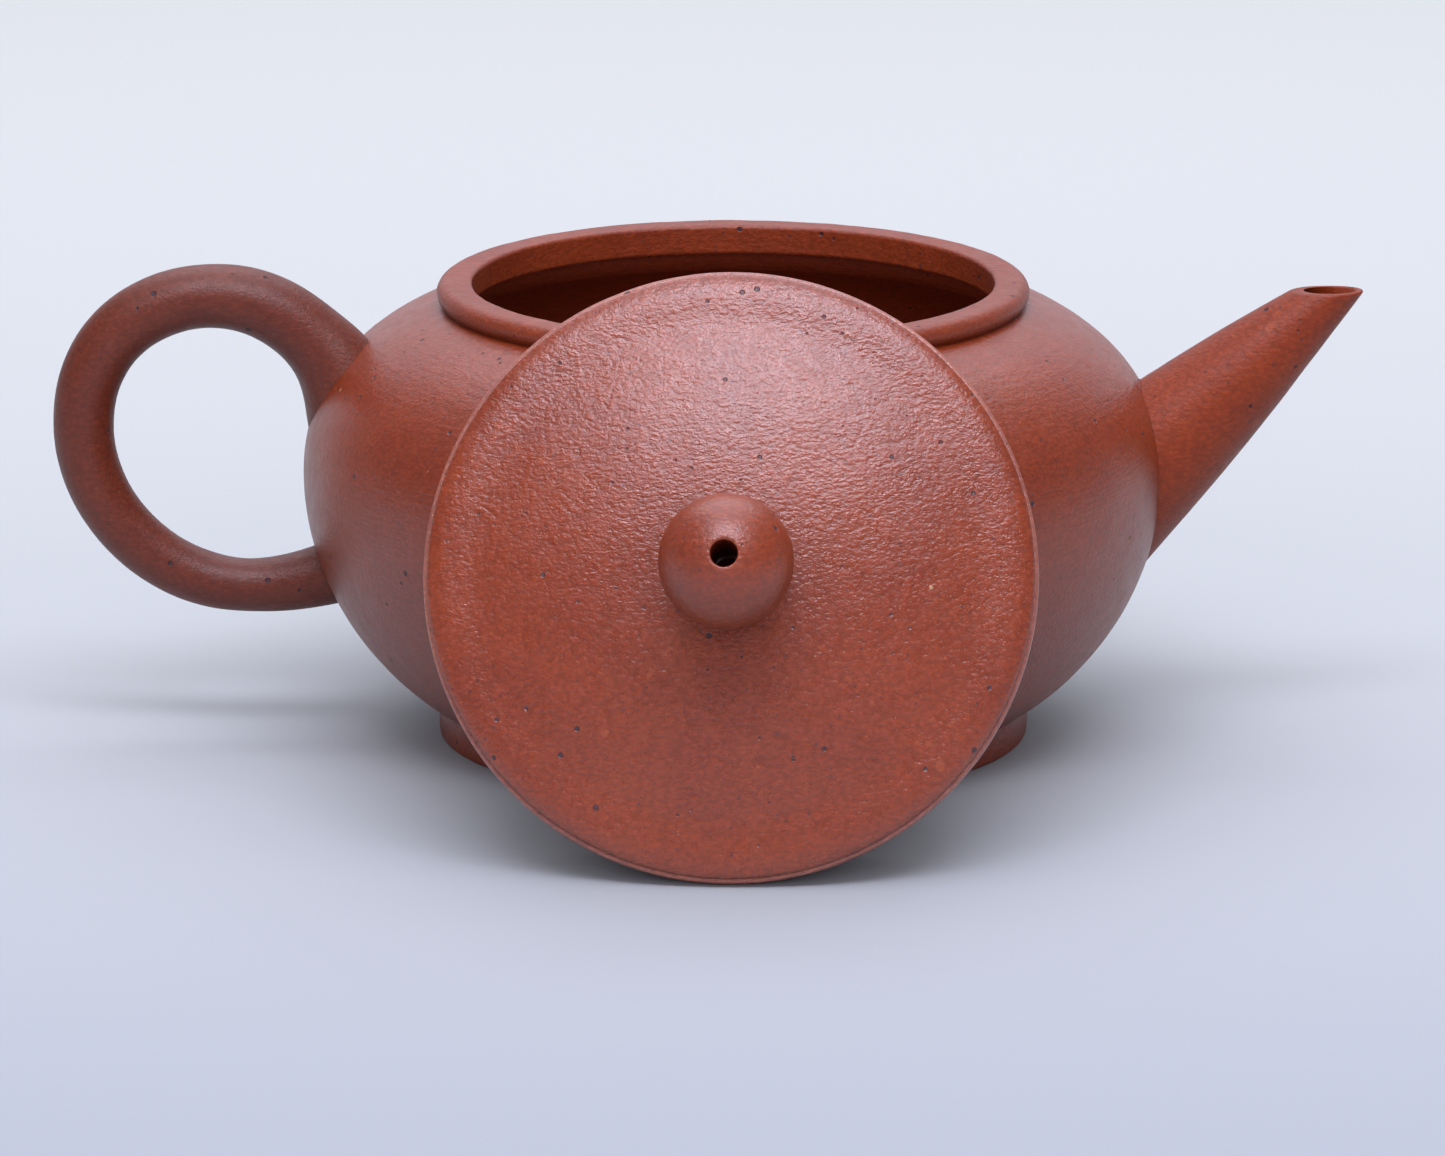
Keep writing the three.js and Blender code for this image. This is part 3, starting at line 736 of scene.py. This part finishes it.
# The paper's front tone is painted shade: the floor made darker towards the camera, where less light
# falls
PAPER_FRONT_SHADE, PAPER_BACK = (0.205, 0.232, 0.285), (0.50, 0.53, 0.525)
ROOM_DIM, ROOM_BACK, ROOM_TOP = (0.085, 0.085, 0.11), (0.86, 0.88, 1.02), (1.2, 1.15, 1.35)
ROOM_BACK_SPAN, ROOM_TOP_SPAN = (0.45, 0.97), (0.80, 0.98)
PAPER_SHADE_SPAN = (-0.39, 0.45)  # painted shade: from the darker front tone to the pale back tone, along Y
FLOOR_REACH = 4.0
CAMERA_TILT, CAMERA_DISTANCE, CAMERA_LENS = 13.43, 1.3, 341.2
CAMERA_AIM = (-1.01, 0, 14.82)  # from the pot's axis, in mm


def make_stage():
    """A wide pale floor."""
    reach = FLOOR_REACH
    points = [(-reach, -reach, 0), (reach, -reach, 0), (reach, reach, 0), (-reach, reach, 0)]
    mesh = bpy.data.meshes.new("floor")
    mesh.from_pydata(points, [], [(0, 1, 2, 3)])
    floor = bpy.data.objects.new("floor", mesh)
    bpy.context.scene.collection.objects.link(floor)
    mesh.materials.append(make_paper())


def make_paper():
    """Paper that is pale at the back, with painted shade greying it towards the front."""
    paper = bpy.data.materials.new("paper")
    paper.use_nodes = True
    tree = paper.node_tree
    across = node(tree, "SeparateXYZ", Vector=node(tree, "TexCoord").outputs["Object"]).outputs[1]
    share = ramp(tree, across, *PAPER_SHADE_SPAN)
    colour = blend(tree, share, (*PAPER_FRONT_SHADE, 1), (*PAPER_BACK, 1))
    shader = tree.nodes["Principled BSDF"]
    tree.links.new(colour, shader.inputs["Base Color"])
    shader.inputs["Roughness"].default_value = 0.8
    shader.inputs["Specular IOR Level"].default_value = 0.1
    return paper


def make_world():
    """A dim room with a bright back and a soft ceiling."""
    world = bpy.data.worlds.new("room")
    world.use_nodes = True
    tree = world.node_tree
    way = node(tree, "SeparateXYZ", Vector=node(tree, "TexCoord").outputs["Generated"])
    colour = blend(tree, ramp(tree, way.outputs[2], *ROOM_TOP_SPAN), (*ROOM_DIM, 1), (*ROOM_TOP, 1))
    colour = blend(tree, ramp(tree, way.outputs[1], *ROOM_BACK_SPAN), colour, (*ROOM_BACK, 1))
    tree.links.new(colour, tree.nodes["Background"].inputs["Color"])
    bpy.context.scene.world = world


def softbox(name, place, aim, width, height, watts, colour=(1, 1, 1)):
    """An area light, in metres and watts."""
    light = bpy.data.lights.new(name, "AREA")
    light.shape, light.size, light.size_y = "RECTANGLE", width, height
    light.energy, light.color = watts, colour
    lamp = bpy.data.objects.new(name, light)
    bpy.context.scene.collection.objects.link(lamp)
    lamp.location = place
    lamp.rotation_euler = (Vector(aim) - Vector(place)).to_track_quat("-Z", "Y").to_euler()
    return lamp


def make_camera():
    target = Vector(POT_AXIS + CAMERA_AIM) * MM
    tilt = math.radians(CAMERA_TILT)
    look = Vector((0, math.cos(tilt), -math.sin(tilt)))
    data = bpy.data.cameras.new("camera")
    data.lens, data.sensor_width = CAMERA_LENS, 36.0
    data.clip_start, data.clip_end = 0.05, 20.0
    camera = bpy.data.objects.new("camera", data)
    camera.location = target - look * CAMERA_DISTANCE
    camera.rotation_euler = look.to_track_quat("-Z", "Y").to_euler()
    bpy.context.scene.collection.objects.link(camera)
    bpy.context.scene.camera = camera


make_stage()
make_world()
softbox("front_box", (0.02, -0.38, 0.62), (0, 0, 0.02), 0.55, 0.22, 3.4, (1.0, 0.95, 1.10))
softbox("back_box", (0, 0.42, 0.62), (0, 0, 0.02), 0.8, 0.36, 1.9, (1.0, 0.97, 1.08))
# Two broad fills brighten the shadows, and are kept out of the clay's reflections
wide_fill = softbox("wide_fill", (0, -0.05, 0.75), (0, -0.05, 0), 2.6, 1.0, 11.0)
low_fill = softbox("low_fill", (0, -1.2, 0.42), (0, 0, 0.02), 1.5, 0.8, 12.0, (1.0, 0.91, 0.98))
wide_fill.visible_glossy = low_fill.visible_glossy = False
bpy.context.scene.view_settings.view_transform = "Standard"
make_camera()
